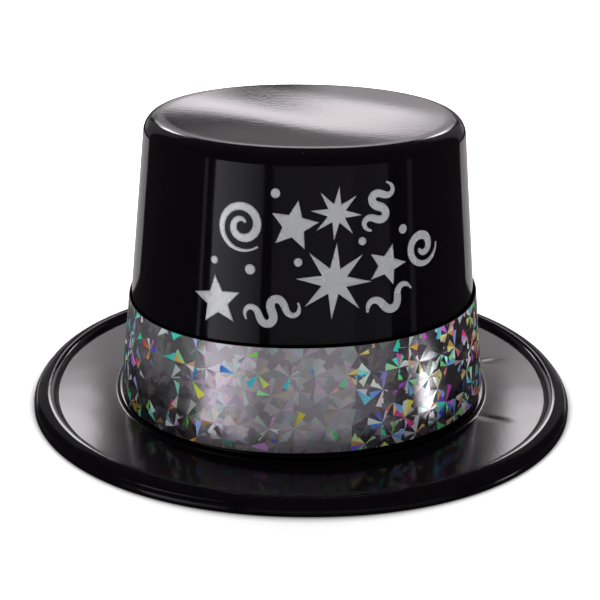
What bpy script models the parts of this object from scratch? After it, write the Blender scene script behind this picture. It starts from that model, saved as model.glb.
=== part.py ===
"""New year party hat.

A thin black plastic top hat, formed in one piece, with a loose hologram foil band round the foot of the
crown and raised silver foil shapes on its front.

Frame: metres, +Z up. The rim stands on z = 0, the front faces -Y and the wearer's left is +X.
Profiles are lists of (half-width, height), and the hat's oval gives the depth that goes with a half-width.
"""

import math

import bmesh
import bpy
from mathutils import Vector

MM = 0.001

# Driving dimensions of the shell
BRIM_HALF_WIDTH = 128 * MM
BRIM_HALF_DEPTH = 135.2 * MM
OVAL_EXPONENT = 2.1
HAT_HEIGHT = 134 * MM
SHEET = 0.6 * MM
CROWN_BASE_HALF_WIDTH = 86 * MM
CROWN_EXTRA_DEPTH = 8 * MM
CROWN_TAPER = 0.096
TOP_EDGE_RADIUS = 7 * MM
TOP_SAG = 0.1 * MM
TOP_RIPPLE = 0.1 * MM
BRIM_HEIGHT = 3.5 * MM
FOOT_HEIGHT = 4.6 * MM
FOOT_HALF_WIDTH = 88.2 * MM
FOOT_SWEEP = 12 * MM
BEAD_INNER = 117.4 * MM
BEAD_CREST = 120.6 * MM
BEAD_OUTER = 126.7 * MM
BEAD_RISE = 3.0 * MM
LIP_HEIGHT = 3.0 * MM
SEGMENTS = 64

# Driving dimensions of the band
BAND_HEIGHT = 45.2 * MM
BAND_BASE = 6.7 * MM
BAND_SIDE_RISE = 1.7 * MM
BAND_FRONT_RISE = 1.8 * MM
BAND_EXTRA_DEPTH = 9.5 * MM
BAND_BOTTOM_HALF_WIDTH = 86.6 * MM
BAND_TOP_HALF_WIDTH = 81.85 * MM
BAND_SHEET = 0.35 * MM
LAP_OVERHANG = math.radians(6)
LAP_RAMP = math.radians(20)
TAPE_SHEET = 0.25 * MM
TAPE_HEIGHT = 38 * MM
TAPE_MARGIN = math.radians(1.2)

# Driving dimensions of the foil shapes
GAP = 0.3 * MM
FOIL_SHEET = 0.4 * MM
FOIL_EDGE = 0.12 * MM
FOIL_BEVEL = 0.45 * MM
FOIL_RADIUS = 79 * MM
STREAMER_WIDTH = 3.6 * MM

STRAIGHT_WALL_START = 5.6 * MM


def clear_scene():
    for thing in list(bpy.data.objects):
        bpy.data.objects.remove(thing, do_unlink=True)


def make_collection(name):
    collection = bpy.data.collections.new(name)
    bpy.context.scene.collection.children.link(collection)
    return collection


def make_material(name, colour, roughness, metallic):
    material = bpy.data.materials.new(name)
    material.use_nodes = True
    shader = material.node_tree.nodes["Principled BSDF"]
    shader.inputs["Base Color"].default_value = (*colour, 1)
    shader.inputs["Roughness"].default_value = roughness
    shader.inputs["Metallic"].default_value = metallic
    return material


# ---------------------------------------------------------------- mesh helpers


def add_ring(bm, points):
    return [bm.verts.new(point) for point in points]


def bridge(bm, ring, other, closed=True):
    """Quads between two rows of the same number of points."""
    count = len(ring)
    for i in range(count if closed else count - 1):
        j = (i + 1) % count
        bm.faces.new((ring[i], ring[j], other[j], other[i]))


def fan(bm, centre, ring):
    for i, vert in enumerate(ring):
        bm.faces.new((centre, vert, ring[(i + 1) % len(ring)]))


def finish_mesh(name, bm, material, collection, sharp_angle=35):
    bmesh.ops.recalc_face_normals(bm, faces=bm.faces)
    mesh = bpy.data.meshes.new(name)
    bm.to_mesh(mesh)
    bm.free()
    mesh.materials.append(material)
    mesh.shade_smooth()
    mesh.set_sharp_from_angle(angle=math.radians(sharp_angle))
    thing = bpy.data.objects.new(name, mesh)
    collection.objects.link(thing)
    return thing


# ---------------------------------------------------------------- the oval and the crown wall


def half_depth(half_width):
    """The head part is longer than it is wide, and the brim a little less so."""
    share = (half_width - FOOT_HALF_WIDTH) / (BRIM_HALF_WIDTH - FOOT_HALF_WIDTH)
    share = min(1, max(0, share))
    brim_extra = BRIM_HALF_DEPTH - BRIM_HALF_WIDTH
    return half_width + (1 - share) * CROWN_EXTRA_DEPTH + share * brim_extra


def crown_half_width(height):
    return CROWN_BASE_HALF_WIDTH - CROWN_TAPER * height


def oval_point(half_width, depth, angle, height, proud=0):
    """A point on an oval, at an angle counted from the front towards +X, moved out by proud.

    The oval is a superellipse, a little fuller than an ellipse.
    """
    across = math.sin(angle)
    along = -math.cos(angle)
    reach = (abs(across) ** OVAL_EXPONENT + abs(along) ** OVAL_EXPONENT) ** (-1 / OVAL_EXPONENT)
    slope_across = math.copysign(abs(reach * across) ** (OVAL_EXPONENT - 1), across) / half_width
    slope_along = math.copysign(abs(reach * along) ** (OVAL_EXPONENT - 1), along) / depth
    normal = Vector((slope_across, slope_along, 0)).normalized()
    return Vector((half_width * reach * across, depth * reach * along, height)) + proud * normal


def arc(centre, radii, start, end, steps):
    """Points on an elliptical arc in the profile plane, with its angles in degrees from +half-width."""
    points = []
    for i in range(steps + 1):
        angle = math.radians(start + (end - start) * i / steps)
        points.append((centre[0] + radii[0] * math.cos(angle), centre[1] + radii[1] * math.sin(angle)))
    return points


# ---------------------------------------------------------------- the shell


def crown_edge_profile():
    """The rounded edge of the crown's top, ending where it meets the tapered wall."""
    wall_lean = math.degrees(math.atan(CROWN_TAPER))
    centre_height = HAT_HEIGHT - TOP_EDGE_RADIUS
    touch_height = centre_height + TOP_EDGE_RADIUS * math.sin(math.radians(wall_lean))
    centre = crown_half_width(touch_height) - TOP_EDGE_RADIUS * math.cos(math.radians(wall_lean))
    return arc((centre, centre_height), (TOP_EDGE_RADIUS, TOP_EDGE_RADIUS), 90, wall_lean, 6)


def foot_profile():
    """The wall's fillet, the ledge that carries the band, and the long sweep down into the brim."""
    wall = crown_half_width(STRAIGHT_WALL_START)
    fillet = STRAIGHT_WALL_START - FOOT_HEIGHT
    corner = 0.45 * MM
    drop = FOOT_HEIGHT - corner - BRIM_HEIGHT
    points = arc((wall + fillet, STRAIGHT_WALL_START), (fillet, fillet), 180, 270, 3)
    points += arc((FOOT_HALF_WIDTH - corner, FOOT_HEIGHT - corner), (corner, corner), 90, 0, 3)
    points += arc((FOOT_HALF_WIDTH + FOOT_SWEEP, BRIM_HEIGHT + drop), (FOOT_SWEEP, drop), 180, 270, 7)[1:]
    return points


def rim_profile():
    """The groove, the bead with its steep inner and long outer side, and the trimmed lip below it."""
    groove_width = 0.8 * MM
    groove_depth = 0.4 * MM
    lip_corner = 0.8 * MM
    inner = BEAD_CREST - BEAD_INNER
    outer = BEAD_OUTER - BEAD_CREST
    points = [(BEAD_INNER - groove_width, BRIM_HEIGHT)]
    points.append((BEAD_INNER - groove_width / 2, BRIM_HEIGHT - groove_depth))
    points += arc((BEAD_CREST, BRIM_HEIGHT), (inner, BEAD_RISE), 180, 90, 4)
    points += arc((BEAD_CREST, BRIM_HEIGHT), (outer, BEAD_RISE), 90, 0, 5)[1:]
    lip_centre = (BRIM_HALF_WIDTH - lip_corner, LIP_HEIGHT - lip_corner)
    points += arc(lip_centre, (lip_corner, lip_corner), 90, 0, 2)
    points.append((BRIM_HALF_WIDTH, 0))
    return points


def top_height(across, along):
    """The thin top is all but flat: it sinks slightly in the middle and carries a slanting ripple."""
    inside = 1 - across * across - along * along
    ripple = math.sin(4.2 * across + 2.6 * along + 0.6)
    return HAT_HEIGHT - inside * (TOP_SAG + TOP_RIPPLE * ripple)


def add_crown_top(bm, edge_ring, half_width):
    """Rings that shrink towards the centre of the top, closed with a fan."""
    depth = half_depth(half_width)
    ring = edge_ring
    for share in (0.75, 0.45, 0.2):
        points = []
        for i in range(SEGMENTS):
            angle = math.tau * i / SEGMENTS
            height = top_height(share * math.sin(angle), -share * math.cos(angle))
            points.append(oval_point(share * half_width, share * depth, angle, height))
        inner = add_ring(bm, points)
        bridge(bm, inner, ring)
        ring = inner
    fan(bm, bm.verts.new((0, 0, top_height(0, 0))), ring)


def build_shell(collection):
    bm = bmesh.new()
    profile = crown_edge_profile() + foot_profile() + rim_profile()
    rings = []
    for half_width, height in profile:
        depth = half_depth(half_width)
        angles = [math.tau * i / SEGMENTS for i in range(SEGMENTS)]
        rings.append(add_ring(bm, [oval_point(half_width, depth, angle, height) for angle in angles]))
    for upper, lower in zip(rings, rings[1:]):
        bridge(bm, upper, lower)
    add_crown_top(bm, rings[0], profile[0][0])
    black = make_material("black_gloss_plastic", (0.012, 0.011, 0.012), 0.08, 0)
    shell = finish_mesh("hat_shell", bm, black, collection)
    skin = shell.modifiers.new("sheet", "SOLIDIFY")
    skin.thickness = SHEET
    skin.offset = -1
    skin.use_even_offset = True
    return shell


# ---------------------------------------------------------------- the band


def band_rise(angle):
    """The band hangs a little higher on the +X side, and its front bows up."""
    return BAND_SIDE_RISE * math.sin(angle) + BAND_FRONT_RISE * max(0, math.cos(angle)) ** 2


def band_point(angle, height, proud):
    """A point of the band, with its height counted up the strip from the band's lower edge."""
    share = height / BAND_HEIGHT
    half_width = BAND_BOTTOM_HALF_WIDTH + share * (BAND_TOP_HALF_WIDTH - BAND_BOTTOM_HALF_WIDTH)
    return oval_point(half_width, half_width + BAND_EXTRA_DEPTH, angle, height + band_rise(angle), proud)


def lap_step(angle):
    """How far the strip has climbed over its own other end."""
    full = BAND_SHEET + GAP + TAPE_SHEET + GAP
    share = (angle - (math.pi - LAP_OVERHANG - LAP_RAMP)) / (0.8 * LAP_RAMP)
    share = min(1, max(0, share))
    return full * share * share * (3 - 2 * share)


def strip_body(bm, angles, heights, inner, outer):
    """A closed curved strip: each section has two inner and two outer points."""
    low, high = heights
    sections = []
    for angle in angles:
        corners = ((low, inner), (high, inner), (high, outer), (low, outer))
        sections.append(
            add_ring(bm, [band_point(angle, height, proud(angle)) for height, proud in corners])
        )
    for section, following in zip(sections, sections[1:]):
        bridge(bm, section, following)
    bm.faces.new(sections[0])
    bm.faces.new(sections[-1])


def build_band(collection):
    bm = bmesh.new()
    reach = math.pi + LAP_OVERHANG
    steps = SEGMENTS + 4
    angles = [-reach + 2 * reach * i / steps for i in range(steps + 1)]
    strip_body(bm, angles, (0, BAND_HEIGHT), lap_step, lambda angle: lap_step(angle) + BAND_SHEET)
    foil = make_material("hologram_foil", (0.62, 0.62, 0.68), 0.22, 1)
    band = finish_mesh("hat_band", bm, foil, collection)
    band.location = (0, 0, BAND_BASE)
    return band


def build_tape(collection):
    """The double-sided tape between the band's overlapped ends."""
    bm = bmesh.new()
    start = math.pi - LAP_OVERHANG + TAPE_MARGIN
    end = math.pi + LAP_OVERHANG - TAPE_MARGIN
    steps = 4
    angles = [start + (end - start) * i / steps for i in range(steps + 1)]
    low = (BAND_HEIGHT - TAPE_HEIGHT) / 2
    inner = BAND_SHEET + GAP
    strip_body(bm, angles, (low, low + TAPE_HEIGHT), lambda angle: inner, lambda angle: inner + TAPE_SHEET)
    clear_tape = make_material("clear_tape", (0.82, 0.80, 0.74), 0.35, 0)
    tape = finish_mesh("band_lap_tape", bm, clear_tape, collection)
    tape.location = (0, 0, BAND_BASE)
    return tape


# ---------------------------------------------------------------- the foil shapes


def on_crown(across, height, proud):
    """A point off the front of the crown: across is measured round the wall from the front centre."""
    half_width = crown_half_width(height)
    return oval_point(half_width, half_depth(half_width), across / FOIL_RADIUS, height, proud)


def star_ring(bm, centre, points, radii, turn, proud):
    corners = []
    for i in range(2 * points):
        angle = turn + math.pi * i / points
        across = centre[0] + radii[i % 2] * math.sin(angle)
        height = centre[1] + radii[i % 2] * math.cos(angle)
        corners.append(on_crown(across, height, proud))
    return add_ring(bm, corners)


def build_star(name, centre, points, outer, inner, turn, foil, collection):
    """A star, or with equal radii a dot: a flat foil island with a bevelled edge, bent round the wall."""
    bm = bmesh.new()
    top = GAP + FOIL_SHEET
    tip_inset = 2.2 * FOIL_BEVEL if outer > 1.3 * inner else FOIL_BEVEL
    layers = (
        (0.5 * outer, 0.5 * inner, GAP),
        (outer, inner, GAP),
        (outer, inner, GAP + FOIL_EDGE),
        (outer - tip_inset, inner - FOIL_BEVEL, top),
        (0.5 * outer, 0.5 * inner, top),
    )
    rings = [star_ring(bm, centre, points, layer[:2], turn, layer[2]) for layer in layers]
    for ring, following in zip(rings, rings[1:]):
        bridge(bm, ring, following)
    fan(bm, bm.verts.new(on_crown(*centre, GAP)), rings[0])
    fan(bm, bm.verts.new(on_crown(*centre, top)), rings[-1])
    return finish_mesh(name, bm, foil, collection, 12)


def stroke_section(bm, point, direction, half):
    """Six points across a stroke: two on the wall side, two at the edges, two on the bevelled top."""
    side = Vector((-direction.y, direction.x))
    bevel = min(FOIL_BEVEL, 0.6 * half)
    top = GAP + FOIL_SHEET
    corners = (
        (-half, GAP),
        (-half, GAP + FOIL_EDGE),
        (bevel - half, top),
        (half - bevel, top),
        (half, GAP + FOIL_EDGE),
        (half, GAP),
    )
    return add_ring(bm, [on_crown(*(point + side * offset), proud) for offset, proud in corners])


def build_streamer(name, path, foil, collection):
    """A brush-like stroke along a path, thin at both ends."""
    bm = bmesh.new()
    sections = []
    last = len(path) - 1
    for i, point in enumerate(path):
        direction = (path[min(last, i + 1)] - path[max(0, i - 1)]).normalized()
        swell = math.sin(math.pi * min(1, (i + 0.6) / last)) ** 0.5 if 0 < i < last else 0.25
        sections.append(stroke_section(bm, point, direction, 0.5 * STREAMER_WIDTH * max(0.25, swell)))
    for section, following in zip(sections, sections[1:]):
        bridge(bm, section, following)
    bm.faces.new(sections[0])
    bm.faces.new(sections[-1])
    return finish_mesh(name, bm, foil, collection, 12)


def curl_path(centre, small, large, start, turns, steps):
    """A spiral that opens out."""
    path = []
    for i in range(steps + 1):
        share = i / steps
        angle = math.radians(start + 360 * turns * share)
        radius = small + (large - small) * share
        path.append(Vector((centre[0] + radius * math.cos(angle), centre[1] + radius * math.sin(angle))))
    return path


def meander_path(start, heading, swing, length, meanders, steps):
    """A serpentine: its direction swings evenly to both sides of the heading, so its bends are round."""
    point = Vector(start)
    path = [point]
    for i in range(steps):
        share = (i + 0.5) / steps
        direction = math.radians(heading + swing * math.cos(math.tau * meanders * share))
        point = point + Vector((math.cos(direction), math.sin(direction))) * length / steps
        path.append(point)
    return path


def build_foil_shapes(collection):
    foil = make_material("silver_foil", (0.80, 0.82, 0.82), 0.16, 1)
    # name, centre (across, height), points, outer radius, inner radius, turn in degrees
    stars = (
        ("foil_star_left", (-4, 104), 5, 10.5, 4.8, 10),
        ("foil_burst_top", (14, 109), 8, 11.0, 4.0, 6),
        ("foil_star_low", (-36, 70), 5, 11.0, 5.0, -8),
        ("foil_burst_low", (13, 81), 8, 16.0, 5.6, 4),
        ("foil_star_right", (36, 86), 5, 9.0, 4.0, 18),
        ("foil_dot_1", (-12, 117), 6, 2.0, 2.0, 0),
        ("foil_dot_2", (-2, 89), 6, 1.8, 1.8, 0),
        ("foil_dot_3", (-22, 85), 6, 2.2, 2.2, 0),
        ("foil_dot_4", (25, 97), 6, 1.7, 1.7, 0),
        ("foil_dot_5", (44, 100), 6, 2.0, 2.0, 0),
        ("foil_dot_6", (-38, 87), 6, 1.7, 1.7, 0),
    )
    for name, centre, points, outer, inner, turn in stars:
        place = (centre[0] * MM, centre[1] * MM)
        build_star(name, place, points, outer * MM, inner * MM, math.radians(turn), foil, collection)
    streamers = (
        ("foil_curl_left", curl_path((-26 * MM, 103 * MM), 1.8 * MM, 11 * MM, 40, 1.75, 46)),
        ("foil_wave_top", meander_path((29 * MM, 101 * MM), 70, 90, 44 * MM, 2, 64)),
        ("foil_wave_low", meander_path((-23 * MM, 64 * MM), 21, 90, 48 * MM, 2, 68)),
        ("foil_wave_right", meander_path((27 * MM, 67 * MM), 20, 70, 33 * MM, 1.5, 44)),
        ("foil_curl_right", curl_path((54 * MM, 91 * MM), 1.6 * MM, 8.6 * MM, 200, 1.45, 38)),
    )
    for name, path in streamers:
        build_streamer(name, path, foil, collection)


def main():
    clear_scene()
    collection = make_collection("new_year_party_hat")
    build_shell(collection)
    build_band(collection)
    build_tape(collection)
    build_foil_shapes(collection)


main()
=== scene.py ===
"""Looks of the new year party hat: black gloss shell, hologram foil band, silver foil shapes.

Frame: metres, +Z up, the front faces -Y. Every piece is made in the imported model's own frame.
"""

import math

import bmesh
import bpy
import numpy as np
from mathutils import Matrix, Vector
from mathutils.geometry import delaunay_2d_cdt


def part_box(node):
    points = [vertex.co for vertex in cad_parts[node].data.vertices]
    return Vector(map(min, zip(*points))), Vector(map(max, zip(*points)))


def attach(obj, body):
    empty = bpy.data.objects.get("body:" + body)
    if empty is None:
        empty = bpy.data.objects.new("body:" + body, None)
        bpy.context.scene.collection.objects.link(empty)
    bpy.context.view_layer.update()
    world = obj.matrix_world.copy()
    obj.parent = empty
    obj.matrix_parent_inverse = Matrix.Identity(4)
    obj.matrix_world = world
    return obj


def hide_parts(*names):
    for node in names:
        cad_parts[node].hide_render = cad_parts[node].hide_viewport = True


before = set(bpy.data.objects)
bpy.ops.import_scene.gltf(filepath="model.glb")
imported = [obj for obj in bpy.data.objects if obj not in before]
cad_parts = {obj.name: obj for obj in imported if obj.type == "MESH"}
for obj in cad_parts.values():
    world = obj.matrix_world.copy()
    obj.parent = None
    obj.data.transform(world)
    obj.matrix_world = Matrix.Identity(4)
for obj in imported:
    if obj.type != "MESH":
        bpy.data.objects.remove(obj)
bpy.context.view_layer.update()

MM = 0.001
SHELL_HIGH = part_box("hat_shell")[1]

# The shell's sizes: the outer ones come from the frame
BRIM_HALF_WIDTH = SHELL_HIGH.x
BRIM_HALF_DEPTH = SHELL_HIGH.y
HAT_HEIGHT = SHELL_HIGH.z
OVAL_EXPONENT = 2.1
SHEET = 0.6 * MM
CROWN_BASE_HALF_WIDTH = 86 * MM
CROWN_EXTRA_DEPTH = 8 * MM
CROWN_TAPER = 0.096
TOP_EDGE_RADIUS = 7 * MM
TOP_SAG = 0.1 * MM
TOP_RIPPLE = 0.1 * MM
RIPPLE_ACROSS = 4.2
RIPPLE_ALONG = 2.6
RIPPLE_START = 0.6
BRIM_HEIGHT = 3.5 * MM
FOOT_HEIGHT = 4.6 * MM
FOOT_HALF_WIDTH = 88.2 * MM
FOOT_SWEEP = 1.6 * MM
FOOT_CORNER = 0.45 * MM
GROOVE_WIDTH = 0.8 * MM
GROOVE_DEPTH = 0.4 * MM
BEAD_INNER = 117.4 * MM
BEAD_CREST = 120.6 * MM
BEAD_OUTER = 126.7 * MM
BEAD_RISE = 3.0 * MM
LIP_HEIGHT = 3.0 * MM
LIP_CORNER = 0.8 * MM
STRAIGHT_WALL_START = 5.6 * MM
SHELL_SEGMENTS = 240
LEAST_TURN = 0.003
TOP_RINGS = 22

# The band's sizes
BAND_HEIGHT = 45.2 * MM
BAND_BASE = 6.7 * MM
BAND_SIDE_RISE = 1.7 * MM
BAND_FRONT_RISE = 1.8 * MM
BAND_EXTRA_DEPTH = 9.5 * MM
BAND_BOTTOM_HALF_WIDTH = 86.6 * MM
BAND_TOP_HALF_WIDTH = 81.85 * MM
BAND_SHEET = 0.35 * MM
LAP_OVERHANG = math.radians(6)
LAP_RAMP = math.radians(20)
LAP_STEP = 1.2 * MM


# ---------------------------------------------------------------- shader node helpers

# Nearly all of a noise texture's values lie between these
NOISE_SPAN = (0.3, 0.7)


def add_node(tree, kind, inputs=None, **settings):
    """A new node, with its settings made first, and each input given a value or linked to a socket."""
    node = tree.nodes.new(kind)
    for key, value in settings.items():
        setattr(node, key, value)
    for key, value in (inputs or {}).items():
        if isinstance(value, bpy.types.NodeSocket):
            tree.links.new(value, node.inputs[key])
        else:
            node.inputs[key].default_value = value
    return node


def output(tree, kind, inputs=None, socket=0, **settings):
    """One output of a new node."""
    return add_node(tree, kind, inputs, **settings).outputs[socket]


def new_material(name):
    """A material with an empty node tree, and the place on the object that its pattern follows."""
    material = bpy.data.materials.new(name)
    material.use_nodes = True
    tree = material.node_tree
    tree.nodes.clear()
    return material, tree, output(tree, "ShaderNodeTexCoord", socket="Object")


def finish_surface(tree, inputs):
    surface = output(tree, "ShaderNodeBsdfPrincipled", inputs)
    add_node(tree, "ShaderNodeOutputMaterial", {"Surface": surface})


def map_range(tree, value, source, result=(0, 1), smooth=False):
    inputs = {
        "Value": value,
        "From Min": source[0],
        "From Max": source[1],
        "To Min": result[0],
        "To Max": result[1],
    }
    style = "SMOOTHSTEP" if smooth else "LINEAR"
    return output(tree, "ShaderNodeMapRange", inputs, interpolation_type=style)


def multiply(tree, first, second):
    return output(tree, "ShaderNodeMath", {0: first, 1: second}, operation="MULTIPLY")


def noise(tree, place, scale, detail, roughness=0.5):
    inputs = {"Vector": place, "Scale": scale, "Detail": detail, "Roughness": roughness}
    return output(tree, "ShaderNodeTexNoise", inputs)


def bump(tree, height, strength, distance, normal=None):
    inputs = {"Height": height, "Strength": strength, "Distance": distance}
    if normal is not None:
        inputs["Normal"] = normal
    return output(tree, "ShaderNodeBump", inputs)


def mix_numbers(tree, factor, first, second):
    inputs = {"Factor": factor, "A": first, "B": second}
    return output(tree, "ShaderNodeMix", inputs, "Result", data_type="FLOAT")


def mix_colours(tree, factor, first, second):
    inputs = {"Factor": factor, "A": (*first, 1), "B": (*second, 1)}
    return output(tree, "ShaderNodeMix", inputs, "Result", data_type="RGBA")


def oval_reach(tree, place, half_width, depth):
    """How far out from the hat's axis a place is, as a share of the way to an oval's edge."""
    inputs = {0: place, 1: (1 / half_width, 1 / depth, 0)}
    scaled = output(tree, "ShaderNodeVectorMath", inputs, operation="MULTIPLY")
    return output(tree, "ShaderNodeVectorMath", {0: scaled}, "Value", operation="LENGTH")


# ---------------------------------------------------------------- camera, world and floor

CAMERA_TARGET = Vector((0, 0, 55 * MM))
CAMERA_DISTANCE = 0.61
CAMERA_PITCH = math.radians(18.31)
CAMERA_ROLL = math.radians(0.726)
CAMERA_LENS = 76.4
CAMERA_SENSOR = 36
CAMERA_SHIFT = (-0.0046, -0.0408)

DIM_STUDIO = (0.020, 0.018, 0.021)
FLOOR_SIZE = 14
FLOOR_DROP = 0.2 * MM
FLOOR_TONE = (0.92, 0.92, 0.92)
FLOOR_ROUGHNESS = 0.8
FLOOR_GLOW_ENDS = (0.16, 0.6)
FLOOR_GLOW = (0.13, 1.0)
# The painted contact shadow round the lip: where it runs, as a share of the brim's oval, and how dark it
# gets
PAINTED_CONTACT_SHADOW_ENDS = (0.995, 1.045)
PAINTED_CONTACT_SHADOW = (0.35, 1.0)


def make_camera():
    data = bpy.data.cameras.new("camera")
    data.lens = CAMERA_LENS
    data.sensor_width = CAMERA_SENSOR
    data.shift_x, data.shift_y = CAMERA_SHIFT
    data.clip_start = 0.01
    data.clip_end = 50
    camera = bpy.data.objects.new("camera", data)
    bpy.context.scene.collection.objects.link(camera)
    offset = Vector((0, -math.cos(CAMERA_PITCH), math.sin(CAMERA_PITCH))) * CAMERA_DISTANCE
    facing = (-offset).to_track_quat("-Z", "Y").to_matrix().to_4x4()
    roll = Matrix.Rotation(CAMERA_ROLL, 4, "Z")
    camera.matrix_world = Matrix.Translation(CAMERA_TARGET + offset) @ facing @ roll
    bpy.context.scene.camera = camera


def make_world():
    """White behind the hat for the camera, and a dim studio for what the hat mirrors."""
    world = bpy.data.worlds.new("studio")
    bpy.context.scene.world = world
    world.use_nodes = True
    tree = world.node_tree
    tree.nodes.clear()
    seen = output(tree, "ShaderNodeLightPath", socket="Is Camera Ray")
    dim = output(tree, "ShaderNodeBackground", {"Color": (*DIM_STUDIO, 1)})
    white = output(tree, "ShaderNodeBackground", {"Color": (1, 1, 1, 1)})
    mix = output(tree, "ShaderNodeMixShader", {0: seen, 1: dim, 2: white})
    add_node(tree, "ShaderNodeOutputWorld", {"Surface": mix})


def make_floor():
    """A white table that glows more away from the hat, so that it meets the white behind.

    Its colour is darkened close round the lip as a painted contact shadow, where the hat keeps the light
    off.
    """
    bpy.ops.mesh.primitive_plane_add(size=FLOOR_SIZE, location=(0, 0, -FLOOR_DROP))
    floor = bpy.context.object
    floor.name = "floor"
    material, tree, place = new_material("pale_floor")
    distance = output(tree, "ShaderNodeVectorMath", {0: place}, "Value", operation="LENGTH")
    glow = map_range(tree, distance, FLOOR_GLOW_ENDS, FLOOR_GLOW, smooth=True)
    # Painted contact shadow: the floor's colour is scaled down close round the lip
    reach = oval_reach(tree, place, BRIM_HALF_WIDTH, BRIM_HALF_DEPTH)
    shade = map_range(tree, reach, PAINTED_CONTACT_SHADOW_ENDS, PAINTED_CONTACT_SHADOW, smooth=True)
    tone = output(tree, "ShaderNodeVectorMath", {0: FLOOR_TONE, "Scale": shade}, operation="SCALE")
    surface = {
        "Base Color": tone,
        "Roughness": FLOOR_ROUGHNESS,
        "Emission Color": (1, 1, 1, 1),
        "Emission Strength": glow,
    }
    finish_surface(tree, surface)
    floor.data.materials.append(material)
    floor.visible_glossy = False


# ---------------------------------------------------------------- lights

WHITE = (1, 1, 1)
ROSY = (1.0, 0.94, 0.97)
LAVENDER = (0.95, 0.92, 1.0)
LOW_DISTANCE = 1.6
BACK_DISTANCE = 1.5
FRONT_DISTANCE = 1.4
SLANT = math.radians(-4)


def area_light(name, place, target, size, radiance, colour):
    """A rectangular light that looks as bright as its radiance, and that the camera doesn't see."""
    data = bpy.data.lights.new(name, "AREA")
    data.shape = "RECTANGLE"
    data.size, data.size_y = size
    data.energy = radiance * math.pi * size[0] * size[1]
    data.color = colour
    light = bpy.data.objects.new(name, data)
    bpy.context.scene.collection.objects.link(light)
    light.location = place
    light.rotation_euler = (Vector(target) - Vector(place)).to_track_quat("-Z", "Y").to_euler()
    light.visible_camera = False
    return light


def light_panel(name, azimuth, width, low, high, distance, radiance, colour):
    """A panel standing round the hat, with its low and high ends in metres.

    Its azimuth and width are in degrees, counted from the front towards +X.
    """
    turn = math.radians(azimuth)
    size = (2 * distance * math.tan(math.radians(width) / 2), high - low)
    middle = Vector((0, 0, (low + high) / 2))
    place = Vector((math.sin(turn), -math.cos(turn), 0)) * distance + middle
    return area_light(name, place, middle, size, radiance, colour)


def shade_along(light, strength_along):
    """Makes a light's brightness change with the way along it, which runs from 0 to 1."""
    light.data.use_nodes = True
    tree = light.data.node_tree
    tree.nodes.clear()
    place = output(tree, "ShaderNodeTexCoord", socket="UV")
    run = output(tree, "ShaderNodeSeparateXYZ", {0: place}, "X")
    glow = output(tree, "ShaderNodeEmission", {"Strength": strength_along(tree, run)})
    add_node(tree, "ShaderNodeOutputLight", {"Surface": glow})


def grade(light, end):
    """Lets a light's brightness run evenly to end times itself, towards +azimuth."""
    shade_along(light, lambda tree, run: map_range(tree, run, (0, 1), (1, end)))


def soften_ends(light, ramp):
    """Lets a light's brightness run out smoothly over a share of its length at both ends."""

    def strength(tree, run):
        rise = map_range(tree, run, (0, ramp), (0, 1), smooth=True)
        fall = map_range(tree, run, (1 - ramp, 1), (1, 0), smooth=True)
        return multiply(tree, rise, fall)

    shade_along(light, strength)


def make_back_lights():
    """Panels behind the hat, for the crown's top, the brim and its bead to mirror."""
    light_panel("back_low", 180, 80, -0.5, -0.12, LOW_DISTANCE, 0.5, ROSY)
    light_panel("back_step", 180, 60, 0.06, 0.31, BACK_DISTANCE, 0.15, ROSY)
    # name, azimuth, width, low, high, radiance, ramp
    slanting = (
        ("back_stripe", -179.4, 26, 0.410, 0.440, 2.2, 0.3),
        ("back_glow_left", -169, 16, 0.315, 0.388, 0.8, 0.2),
        ("back_glow_right", 171.5, 21, 0.345, 0.424, 0.65, 0.2),
    )
    for *shape, radiance, ramp in slanting:
        panel = light_panel(*shape, BACK_DISTANCE, radiance, ROSY)
        panel.rotation_euler.rotate_axis("Z", SLANT)
        soften_ends(panel, ramp)
    # name, azimuth, width, low, high, radiance
    upright = (
        ("back_dim", 180, 30, 0.452, 0.50, 0.26),
        ("back_middle", 180, 36, 0.50, 0.645, 1.15),
        ("back_high_left", -163, 6.4, 0.645, 0.86, 6.0),
        ("back_high_right", 163, 6.4, 0.645, 0.86, 6.0),
        ("back_side_left", -148, 22, 0.05, 1.2, 0.13),
        ("back_side_right", 148, 22, 0.05, 1.2, 0.13),
    )
    for *shape, radiance in upright:
        light_panel(*shape, BACK_DISTANCE, radiance, ROSY)


def make_front_lights():
    """Panels in front of the hat, for the crown's wall and the band to mirror."""
    # name, azimuth, width, low, high, radiance, and how many times that at the end towards +azimuth
    panels = (
        ("front_left", -42.5, 36, -0.6, 0.25, 1.05, 0.2),
        ("front_left_slit", -68, 2.5, -0.6, 0.25, 0.3, 1),
        ("front_middle", 6.5, 49, -0.6, 0.22, 0.13, 1.3),
        ("front_right", 44, 26, -0.6, 0.20, 0.10, 1.5),
        ("front_right_slit", 75, 4, -0.6, 0.25, 0.13, 1),
    )
    for *shape, radiance, end in panels:
        panel = light_panel(*shape, FRONT_DISTANCE, radiance, LAVENDER)
        if end != 1:
            grade(panel, end)


def make_lights():
    make_back_lights()
    make_front_lights()
    # A small card beside the band makes its white patch on the wearer's left
    card_place = (0.307, -0.098, -0.055)
    card_target = (0.060, -0.071, -0.055)
    area_light("side_card", card_place, card_target, (0.055, 0.07), 2.4, WHITE)
    # The overhead light is for the floor and the dull surfaces
    overhead = area_light("overhead", (0, 0.35, 1.1), (0, 0.05, 0), (1.3, 1.3), 5.2, WHITE)
    overhead.visible_glossy = False


# ---------------------------------------------------------------- mesh helpers


def add_ring(bm, points):
    return [bm.verts.new(point) for point in points]


def bridge(bm, ring, other):
    count = len(ring)
    for i in range(count):
        j = (i + 1) % count
        bm.faces.new((ring[i], ring[j], other[j], other[i]))


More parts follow.
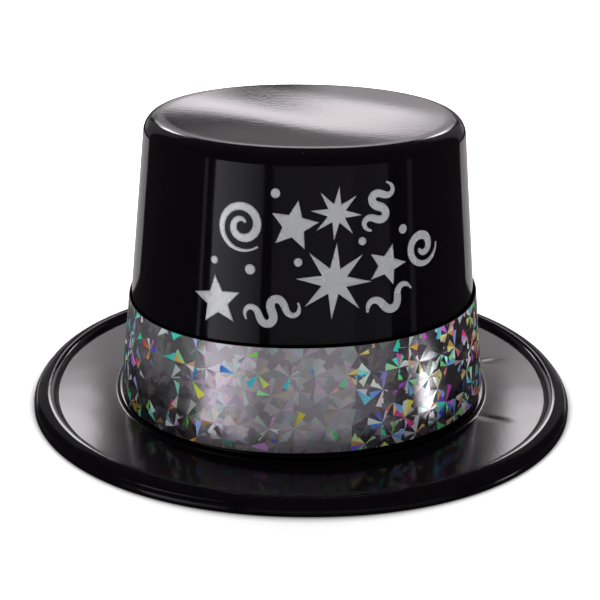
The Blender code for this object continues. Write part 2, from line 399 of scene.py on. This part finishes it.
def mesh_object(name, bm, materials, sharp_angle):
    mesh = bpy.data.meshes.new(name)
    bm.to_mesh(mesh)
    bm.free()
    for material in materials:
        mesh.materials.append(material)
    mesh.shade_smooth()
    mesh.set_sharp_from_angle(angle=math.radians(sharp_angle))
    thing = bpy.data.objects.new(name, mesh)
    bpy.context.scene.collection.objects.link(thing)
    return thing


def clamp(value, low, high):
    return min(high, max(low, value))


def ease(share):
    share = clamp(share, 0, 1)
    return share * share * (3 - 2 * share)


# ---------------------------------------------------------------- the shell


def half_depth(half_width):
    """An oval's half-length, which exceeds its half-width by 8 mm on the crown and 7.2 mm at the lip."""
    share = clamp((half_width - FOOT_HALF_WIDTH) / (BRIM_HALF_WIDTH - FOOT_HALF_WIDTH), 0, 1)
    brim_extra = BRIM_HALF_DEPTH - BRIM_HALF_WIDTH
    return half_width + (1 - share) * CROWN_EXTRA_DEPTH + share * brim_extra


def crown_half_width(height):
    return CROWN_BASE_HALF_WIDTH - CROWN_TAPER * height


def oval_point(half_width, depth, angle, height, proud=0):
    """A point on an oval, at an angle counted from the front towards +X, moved out by proud."""
    across = math.sin(angle)
    along = -math.cos(angle)
    reach = (abs(across) ** OVAL_EXPONENT + abs(along) ** OVAL_EXPONENT) ** (-1 / OVAL_EXPONENT)
    slope_across = math.copysign(abs(reach * across) ** (OVAL_EXPONENT - 1), across) / half_width
    slope_along = math.copysign(abs(reach * along) ** (OVAL_EXPONENT - 1), along) / depth
    normal = Vector((slope_across, slope_along, 0)).normalized()
    return Vector((half_width * reach * across, depth * reach * along, height)) + proud * normal


def arc(centre, radii, start, end, steps):
    """Points on an elliptical arc in the profile plane, with its angles in degrees from +half-width."""
    points = []
    for i in range(steps + 1):
        angle = math.radians(start + (end - start) * i / steps)
        points.append((centre[0] + radii[0] * math.cos(angle), centre[1] + radii[1] * math.sin(angle)))
    return points


def straight(start, end, steps):
    """Points between two profile points, without either end."""
    return [
        (start[0] + (end[0] - start[0]) * i / steps, start[1] + (end[1] - start[1]) * i / steps)
        for i in range(1, steps)
    ]


def edge_profile():
    """The rounded edge of the crown's top, from the sagging top to the tapered wall."""
    lean = math.degrees(math.atan(CROWN_TAPER))
    centre_height = HAT_HEIGHT - TOP_EDGE_RADIUS
    touch = centre_height + TOP_EDGE_RADIUS * math.sin(math.radians(lean))
    centre = crown_half_width(touch) - TOP_EDGE_RADIUS * math.cos(math.radians(lean))
    bowl_lean = math.degrees(math.atan(2 * TOP_SAG / centre))
    return arc((centre, centre_height), (TOP_EDGE_RADIUS, TOP_EDGE_RADIUS), 90 + bowl_lean, lean, 16)


def foot_profile():
    """The wall's fillet, the ledge that carries the band, and the sweep down into the brim."""
    wall = crown_half_width(STRAIGHT_WALL_START)
    fillet = STRAIGHT_WALL_START - FOOT_HEIGHT
    corner = (FOOT_HALF_WIDTH - FOOT_CORNER, FOOT_HEIGHT - FOOT_CORNER)
    drop = FOOT_HEIGHT - FOOT_CORNER - BRIM_HEIGHT
    points = arc((wall + fillet, STRAIGHT_WALL_START), (fillet, fillet), 180, 270, 5)
    points += arc(corner, (FOOT_CORNER, FOOT_CORNER), 90, 0, 5)
    points += arc((FOOT_HALF_WIDTH + FOOT_SWEEP, BRIM_HEIGHT + drop), (FOOT_SWEEP, drop), 180, 270, 20)[1:]
    return points


def rim_profile():
    """The groove, the bead with its steep inner and long outer side, and the trimmed lip below it."""
    inner = BEAD_CREST - BEAD_INNER
    outer = BEAD_OUTER - BEAD_CREST
    lip = (BRIM_HALF_WIDTH - LIP_CORNER, LIP_HEIGHT - LIP_CORNER)
    points = [(BEAD_INNER - GROOVE_WIDTH, BRIM_HEIGHT)]
    points.append((BEAD_INNER - GROOVE_WIDTH / 2, BRIM_HEIGHT - GROOVE_DEPTH))
    points += arc((BEAD_CREST, BRIM_HEIGHT), (inner, BEAD_RISE), 180, 90, 8)
    points += arc((BEAD_CREST, BRIM_HEIGHT), (outer, BEAD_RISE), 90, 0, 10)[1:]
    points += arc(lip, (LIP_CORNER, LIP_CORNER), 90, 0, 5)
    points += [(BRIM_HALF_WIDTH, LIP_HEIGHT / 3), (BRIM_HALF_WIDTH, 0)]
    return points


def shell_profile():
    """The outer side from the edge of the crown's top down to the lip's lower edge."""
    edge = edge_profile()
    foot = foot_profile()
    rim = rim_profile()
    return edge + straight(edge[-1], foot[0], 14) + foot + straight(foot[-1], rim[0], 12) + rim


# Two short soft kinks across the flat of the brim on the +X side: place in metres, turn in degrees
DENTS = ((0.0960, 0.0215, 20), (0.0865, -0.0480, -16))
DENT_DEPTH = 0.22 * MM
DENT_LENGTH = 6.5 * MM
DENT_WIDTH = 2.6 * MM


def dent_depth(x, y):
    depth = 0
    for across, along, turn in DENTS:
        direction_x = math.cos(math.radians(turn))
        direction_y = math.sin(math.radians(turn))
        run = (x - across) * direction_x + (y - along) * direction_y
        off = -(x - across) * direction_y + (y - along) * direction_x
        depth += DENT_DEPTH * math.exp(-((run / DENT_LENGTH) ** 2)) * math.exp(-((off / DENT_WIDTH) ** 2))
    return depth


def shell_angles():
    """Even steps round the oval and half-degree ones where the dents are, without near doubles."""
    angles = [math.tau * i / SHELL_SEGMENTS for i in range(SHELL_SEGMENTS)]
    for across, along, _ in DENTS:
        middle = math.atan2(across, -along)
        angles += [middle + math.radians(step * 0.5) for step in range(-9, 10)]
    angles = sorted(set(round(angle % math.tau, 5) for angle in angles))
    return [a for a, b in zip(angles, angles[1:] + [math.tau]) if b - a > LEAST_TURN]


def top_height(across, along):
    """The thin top sinks slightly in the middle and carries a slanting ripple."""
    inside = 1 - across * across - along * along
    ripple = math.sin(RIPPLE_ACROSS * across + RIPPLE_ALONG * along + RIPPLE_START)
    return HAT_HEIGHT - inside * (TOP_SAG + TOP_RIPPLE * ripple)


def add_crown_top(bm, angles, edge_ring, half_width):
    """Rings that shrink towards the centre of the top, closed with a fan."""
    depth = half_depth(half_width)
    ring = edge_ring
    for step in range(1, TOP_RINGS):
        share = 1 - step / TOP_RINGS
        points = []
        for angle in angles:
            height = top_height(share * math.sin(angle), -share * math.cos(angle))
            points.append(oval_point(share * half_width, share * depth, angle, height))
        inner = add_ring(bm, points)
        bridge(bm, inner, ring)
        ring = inner
    centre = bm.verts.new((0, 0, top_height(0, 0)))
    for i, vert in enumerate(ring):
        bm.faces.new((centre, vert, ring[(i + 1) % len(ring)]))


def make_shell(material):
    bm = bmesh.new()
    profile = shell_profile()
    angles = shell_angles()
    plate_top = FOOT_HEIGHT - 0.5 * MM
    rings = []
    for half_width, height in profile:
        depth = half_depth(half_width)
        ring = []
        for angle in angles:
            point = oval_point(half_width, depth, angle, height)
            if height < plate_top and half_width < BEAD_INNER:
                point.z -= dent_depth(point.x, point.y)
            ring.append(point)
        rings.append(add_ring(bm, ring))
    for upper, lower in zip(rings, rings[1:]):
        bridge(bm, upper, lower)
    add_crown_top(bm, angles, rings[0], profile[0][0])
    bmesh.ops.recalc_face_normals(bm, faces=bm.faces)
    shell = mesh_object("shell_skin", bm, [material], 40)
    skin = shell.modifiers.new("sheet", "SOLIDIFY")
    skin.thickness = SHEET
    skin.offset = -1
    skin.use_even_offset = True
    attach(shell, "shell")
    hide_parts("hat_shell")


PLASTIC = (0.0026, 0.0020, 0.0028)
PLASTIC_IOR = 1.49
DUST = (0.10, 0.095, 0.10)
WALL_ROUGHNESS = (0.05, 0.10)
BRIM_ROUGHNESS = 0.14
TOP_ROUGHNESS = (0.05, 0.12)


def plastic_roughness(tree, place, height, on_top):
    """Uneven gloss on the wall, satin on the brim, and a top that turns satin towards its edge."""
    smears = noise(tree, place, 35.0, 3.0)
    wall = map_range(tree, smears, NOISE_SPAN, WALL_ROUGHNESS)
    on_brim = map_range(tree, height, (FOOT_HEIGHT, FOOT_HEIGHT + 2 * MM), (1, 0))
    low = mix_numbers(tree, on_brim, wall, BRIM_ROUGHNESS)
    top_half_width = crown_half_width(HAT_HEIGHT) - TOP_EDGE_RADIUS
    reach = oval_reach(tree, place, top_half_width, half_depth(top_half_width))
    top = map_range(tree, reach, (0.96, 1.01), TOP_ROUGHNESS)
    return mix_numbers(tree, on_top, low, top)


def black_plastic():
    """Wet black gloss with a slow waviness, and a flatter, slightly dusty top."""
    material, tree, place = new_material("black_gloss_plastic")
    height = output(tree, "ShaderNodeSeparateXYZ", {0: place}, "Z")
    on_top = map_range(tree, height, (HAT_HEIGHT - 4 * MM, HAT_HEIGHT - 1.5 * MM))
    specks = noise(tree, place, 900.0, 2.0, 0.6)
    dust = map_range(tree, specks, (0.70, 0.78), (0, 0.5))
    colour = mix_colours(tree, multiply(tree, dust, on_top), PLASTIC, DUST)
    roughness = plastic_roughness(tree, place, height, on_top)
    waviness = map_range(tree, on_top, (0, 1), (0.25, 0.02))
    wave = bump(tree, noise(tree, place, 28.0, 1.0), waviness, 0.6 * MM)
    peel = bump(tree, noise(tree, place, 420.0, 2.0), 0.08, 0.1 * MM, wave)
    surface = {"Base Color": colour, "Roughness": roughness, "Normal": peel, "IOR": PLASTIC_IOR}
    finish_surface(tree, surface)
    return material


# ---------------------------------------------------------------- the band


def band_rise(angle):
    """The band stands a little higher on the +X side, and its front bows up."""
    return BAND_SIDE_RISE * math.sin(angle) + BAND_FRONT_RISE * max(0, math.cos(angle)) ** 2


def lap_step(angle):
    """How far the strip has climbed over its own other end."""
    share = (angle - (math.pi - LAP_OVERHANG - LAP_RAMP)) / (0.8 * LAP_RAMP)
    return LAP_STEP * ease(share)


def band_point(angle, height, proud):
    """A point of the strip, with its inner side at proud 0 and its height counted from its lower edge."""
    share = height / BAND_HEIGHT
    half_width = BAND_BOTTOM_HALF_WIDTH + share * (BAND_TOP_HALF_WIDTH - BAND_BOTTOM_HALF_WIDTH)
    depth = half_width + BAND_EXTRA_DEPTH
    return oval_point(half_width, depth, angle, height + band_rise(angle), proud + lap_step(angle))


def band_normal(angle, height):
    turn = 0.0002
    step = 0.1 * MM
    around = band_point(angle + turn, height, 0) - band_point(angle - turn, height, 0)
    up = band_point(angle, height + step, 0) - band_point(angle, height - step, 0)
    return around.cross(up).normalized()


# The foil's pattern is drawn on the flat strip: pinwheels of petals in tiles, two rows of them
TILES = 23
ROWS = 2
ROW_SHIFT = 0.35
MEAN_RADIUS = 88 * MM
STRIP_HALF_ANGLE = math.pi + LAP_OVERHANG
STRIP_LENGTH = 2 * STRIP_HALF_ANGLE * MEAN_RADIUS
WHEEL_PLACES = ((0.15, 0.18), (0.64, 0.12), (0.40, 0.52), (0.90, 0.50), (0.16, 0.84))
FEWEST_PETALS = 11
MOST_PETALS = 14
PETAL_LENGTHS = (5.5 * MM, 9.0 * MM)
DRIFT_LENGTH = 7 * MM
SEED = 11


def petals_of_tile(rng, width, height):
    """Pinwheels of blunt petals in one repeat of the pattern: apex and two outer corners each."""
    petals = []
    for across, up in WHEEL_PLACES:
        middle = ((across + rng.uniform(-0.05, 0.05)) * width, (up + rng.uniform(-0.05, 0.05)) * height)
        centre = Vector(middle)
        count = int(rng.integers(FEWEST_PETALS, MOST_PETALS + 1))
        turn = rng.uniform(0, math.tau)
        for petal in range(count):
            angle = turn + math.tau * (petal + rng.uniform(-0.15, 0.15)) / count
            half = 1.05 * math.pi / count
            length = rng.uniform(*PETAL_LENGTHS)
            corners = []
            for side in (-half, half):
                reach = length * rng.uniform(0.88, 1.0)
                corners.append(centre + reach * Vector((math.cos(angle + side), math.sin(angle + side))))
            petals.append((centre, *corners))
    return [petals[i] for i in rng.permutation(len(petals))]


def petals_of_strip(rng):
    """The tile's petals repeated over the strip, lowest petal first, without those that miss it."""
    width = STRIP_LENGTH / TILES
    height = BAND_HEIGHT / ROWS
    petals = []
    for outline in petals_of_tile(rng, width, height):
        for column in range(-1, TILES + 1):
            for row in range(-1, ROWS + 1):
                shift = Vector((column * width + ROW_SHIFT * width * row, row * height))
                petal = [corner + shift for corner in outline]
                if any(0 < corner.x < STRIP_LENGTH and 0 < corner.y < BAND_HEIGHT for corner in petal):
                    petals.append(petal)
    return petals


def strip_border():
    steps = 180
    rises = 8
    border = [Vector((STRIP_LENGTH * i / steps, 0)) for i in range(steps)]
    border += [Vector((STRIP_LENGTH, BAND_HEIGHT * i / rises)) for i in range(rises)]
    border += [Vector((STRIP_LENGTH * (1 - i / steps), BAND_HEIGHT)) for i in range(steps)]
    border += [Vector((0, BAND_HEIGHT * (1 - i / rises))) for i in range(rises)]
    return border


def shard_pattern(rng):
    """The flat strip cut up by the petals' outlines: points, faces, and each face's uppermost petal."""
    petals = petals_of_strip(rng)
    border = strip_border()
    points = border + [corner for petal in petals for corner in petal]
    outlines = [list(range(len(border)))]
    for i in range(len(petals)):
        first = len(border) + 3 * i
        outlines.append([first, first + 1, first + 2])
    triangles_inside = 1
    nearness = 1e-7
    cut = delaunay_2d_cdt(points, [], outlines, triangles_inside, nearness)
    points, _, faces, _, _, sources = cut
    kept = [(face, max(source) - 1) for face, source in zip(faces, sources) if 0 in source]
    return petals, points, kept


def hue_colour(hue, saturation, value):
    """HSV to a linear colour with cyclic hue."""
    channels = []
    for shift in (0, 2 / 3, 1 / 3):
        tone = abs(((hue + shift) % 1) * 6 - 3) - 1
        channels.append(value * (1 - saturation + saturation * clamp(tone, 0, 1)))
    return channels


# Colours of the painted flashes: bright, saturated and mostly diffuse, standing in for light that the foil
# throws back
FLASH_HUES = (0.62, 0.60, 0.64, 0.66, 0.50, 0.48, 0.36, 0.40, 0.28, 0.16, 0.12, 0.07, 0.03, 0.92, 0.75)
FLASH_SATURATIONS = (0.1, 0.6, 0.8, 0.92)
PALE_HUES = (0.80, 0.88, 0.76, 0.08, 0.56, 0.40)
BARE_HUE = 0.8
BARE_SATURATION = 0.08
BARE_VALUE = 0.62
BRIGHT_VALUES = (0.62, 1.0)
# The darker range is painted shade for the petals on the +X side
PAINTED_SHADE_VALUES = (0.30, 0.80)


def painted_flash_zone(angle, height):
    """Share of petals with painted flashes, and the other petals' share of mirror and range of values.

    The zones paint the foil's look by angle round the hat: milky in front and clear at the sides, with
    painted flashes and petals darkened as painted shade on the +X side.
    """
    degrees = math.degrees(angle)
    if -30 < degrees < 15:
        return 0.06, 0.70, BRIGHT_VALUES
    if 34 < degrees < 43:
        return 0.12, 0.98, BRIGHT_VALUES
    if 15 <= degrees < 100:
        return 0.42, 0.97, PAINTED_SHADE_VALUES
    return 0.20, 0.84 + 0.14 * ease(1.3 - 1.6 * height / BAND_HEIGHT), BRIGHT_VALUES


def petal_look(rng, petal):
    """Hue at the apex and its drift outwards, saturation, value, share of mirror, and lean."""
    middle = (petal[0] + petal[1] + petal[2]) / 3
    angle = middle.x / MEAN_RADIUS - STRIP_HALF_ANGLE
    sideways = Vector((math.cos(angle), math.sin(angle), 0))
    painted_flashing, mirror, values = painted_flash_zone(angle, middle.y)
    # A flashing petal is a painted flash: a bright, saturated colour with little mirror
    if rng.random() < painted_flashing:
        hue = FLASH_HUES[rng.integers(len(FLASH_HUES))]
        drift = rng.uniform(-0.12, 0.12)
        look = (hue, drift, rng.choice(FLASH_SATURATIONS), 1.0, rng.uniform(0.08, 0.35))
        lean = sideways * rng.normal(0, 0.14) + Vector((0, 0, rng.normal(0.05, 0.16)))
    else:
        hue = PALE_HUES[rng.integers(len(PALE_HUES))]
        mirror += rng.uniform(-0.10, 0.03)
        value = rng.uniform(*values)
        look = (hue, rng.uniform(-0.05, 0.05), rng.uniform(0.04, 0.22), value, mirror)
        lean = sideways * rng.normal(0, 0.03) + Vector((0, 0, rng.normal(0, 0.03)))
    return look, lean


def bare_look(place):
    """The foil between the pinwheels, plain and a little duller, without a lean."""
    look = (BARE_HUE, 0, BARE_SATURATION, BARE_VALUE, painted_flash_zone(*place)[1])
    return look, Vector((0, 0, 0))


def strip_place(point):
    """Angle round the hat and height up the strip of a point of the flat pattern."""
    share = clamp(point.x / STRIP_LENGTH, 0, 1)
    return share * 2 * STRIP_HALF_ANGLE - STRIP_HALF_ANGLE, clamp(point.y, 0, BAND_HEIGHT)


def add_shards(bm, verts, places, rng, petals, points, kept):
    """The foil's face in triangles, each with the colour and lean of the petal that it shows."""
    looks = [petal_look(rng, petal) for petal in petals]
    colour = bm.loops.layers.float_color.new("shard_colour_and_painted_light")
    tilt = bm.loops.layers.float_color.new("shard_tilt")
    for corners, top in kept:
        on_petal = top >= 0
        face = bm.faces.new([verts[i] for i in corners])
        look, lean = looks[top] if on_petal else bare_look(places[corners[0]])
        hue, drift, saturation, value, mirror = look
        packed_lean = [part * 0.5 + 0.5 for part in lean]
        for loop, corner in zip(face.loops, corners):
            share = (points[corner] - petals[top][0]).length / DRIFT_LENGTH if on_petal else 0
            loop[colour] = (*hue_colour(hue + drift * share, saturation, value), 1)
            loop[tilt] = (*packed_lean, mirror)


def add_card(bm, verts, backs):
    """The card's back, and its cut edge all round."""
    index = {vert: i for i, vert in enumerate(verts)}
    rim = [edge for edge in bm.edges if edge.is_boundary]
    faces = []
    for face in list(bm.faces):
        faces.append(bm.faces.new([backs[index[vert]] for vert in reversed(face.verts)]))
    for edge in rim:
        first = edge.link_loops[0].vert
        second = edge.other_vert(first)
        corners = [second, first, backs[index[first]], backs[index[second]]]
        faces.append(bm.faces.new(corners))
    for face in faces:
        face.material_index = 1


def band_loop_normals(bm, verts, backs, places):
    """The strip's own smooth normals for its two sides, and flat ones for the cut edge."""
    normals = {}
    for side, facing in ((verts, 1), (backs, -1)):
        for vert, place in zip(side, places):
            if vert.is_valid:
                normals[vert] = facing * band_normal(*place)
    loop_normals = []
    for face in bm.faces:
        turned = any(normals[vert].dot(face.normal) < 0.5 for vert in face.verts)
        flat = face.material_index == 1 and turned
        loop_normals += [face.normal.copy() if flat else normals[vert] for vert in face.verts]
    return loop_normals


def make_band(front, back):
    rng = np.random.default_rng(SEED)
    petals, points, kept = shard_pattern(rng)
    places = [strip_place(point) for point in points]
    bm = bmesh.new()
    verts = [bm.verts.new(band_point(*place, BAND_SHEET)) for place in places]
    add_shards(bm, verts, places, rng, petals, points, kept)
    loose = [i for i, vert in enumerate(verts) if not vert.link_faces]
    backs = [bm.verts.new(band_point(*place, 0)) for place in places]
    add_card(bm, verts, backs)
    for i in loose:
        bm.verts.remove(verts[i])
        bm.verts.remove(backs[i])
    bm.normal_update()
    loop_normals = band_loop_normals(bm, verts, backs, places)
    band = mesh_object("foil_band", bm, [front, back], 60)
    band.data.normals_split_custom_set(loop_normals)
    band.location = (0, 0, BAND_BASE)
    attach(band, "band")
    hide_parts("hat_band")


def hologram_foil():
    """Mirror foil whose shards each have their own colour and lean, so each flashes by itself; the
    brightest flashes and the darker +X side are painted into the shard colours.
    """
    material, tree, place = new_material("hologram_foil")
    # The shard colours carry the painted flashes and painted shade as well as the foil's tints
    colour = output(tree, "ShaderNodeAttribute", socket="Color", attribute_name="shard_colour_and_painted_light")
    tilt = add_node(tree, "ShaderNodeAttribute", attribute_name="shard_tilt")
    unpack = {0: tilt.outputs["Vector"], 1: (2, 2, 2), 2: (-1, -1, -1)}
    lean = output(tree, "ShaderNodeVectorMath", unpack, operation="MULTIPLY_ADD")
    normal = output(tree, "ShaderNodeNewGeometry", socket="Normal")
    leaning = output(tree, "ShaderNodeVectorMath", {0: normal, 1: lean}, operation="ADD")
    unit = output(tree, "ShaderNodeVectorMath", {0: leaning}, operation="NORMALIZE")
    grain = bump(tree, noise(tree, place, 1500.0, 2.0), 0.06, 0.03 * MM, unit)
    roughness = map_range(tree, noise(tree, place, 160.0, 3.0), NOISE_SPAN, (0.18, 0.24))
    surface = {
        "Base Color": colour,
        "Roughness": roughness,
        "Normal": grain,
        "Metallic": tilt.outputs["Alpha"],
    }
    finish_surface(tree, surface)
    return material


def card_back():
    """Uncoated card with a fibrous tooth, coloured very dark as painted shade for the inside of the band.
    """
    material, tree, place = new_material("card_back")
    fibres = noise(tree, place, 700.0, 6.0, 0.7)
    # The very dark tones are painted shade for the band's inside
    colour = mix_colours(tree, fibres, (0.012, 0.012, 0.013), (0.035, 0.034, 0.036))
    tooth = bump(tree, fibres, 0.2, 0.1 * MM)
    finish_surface(tree, {"Base Color": colour, "Roughness": 0.55, "Normal": tooth})
    return material


def tape_material():
    """Yellowish tape with small trapped bubbles."""
    material, tree, place = new_material("clear_tape")
    bubbles = output(tree, "ShaderNodeTexVoronoi", {"Vector": place, "Scale": 500.0}, "Distance")
    colour = mix_colours(tree, bubbles, (0.78, 0.75, 0.66), (0.86, 0.84, 0.78))
    dimples = bump(tree, bubbles, 0.3, 0.1 * MM)
    finish_surface(tree, {"Base Color": colour, "Roughness": 0.35, "Normal": dimples})
    return material


# ---------------------------------------------------------------- the foil shapes


SILVER = ((0.78, 0.80, 0.79), (0.92, 0.94, 0.94))
SILVER_MIRROR = 0.5


def silver_foil():
    """Hot-stamped mirror foil with a faint grain and slow dents."""
    material, tree, place = new_material("silver_foil")
    slow = noise(tree, place, 120.0, 2.0)
    colour = mix_colours(tree, slow, *SILVER)
    roughness = map_range(tree, slow, NOISE_SPAN, (0.18, 0.34))
    dents = bump(tree, slow, 0.3, 0.6 * MM)
    grain = bump(tree, noise(tree, place, 1400.0, 3.0), 0.1, 0.05 * MM, dents)
    surface = {
        "Base Color": colour,
        "Roughness": roughness,
        "Normal": grain,
        "Metallic": SILVER_MIRROR,
    }
    finish_surface(tree, surface)
    return material


def dress_node(name, material):
    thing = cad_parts[name]
    thing.data.materials.clear()
    thing.data.materials.append(material)


def main():
    bpy.context.scene.view_settings.view_transform = "Standard"
    make_camera()
    make_world()
    make_lights()
    make_floor()
    make_shell(black_plastic())
    make_band(hologram_foil(), card_back())
    dress_node("band_lap_tape", tape_material())
    foil = silver_foil()
    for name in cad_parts:
        if name.startswith("foil_"):
            dress_node(name, foil)


main()
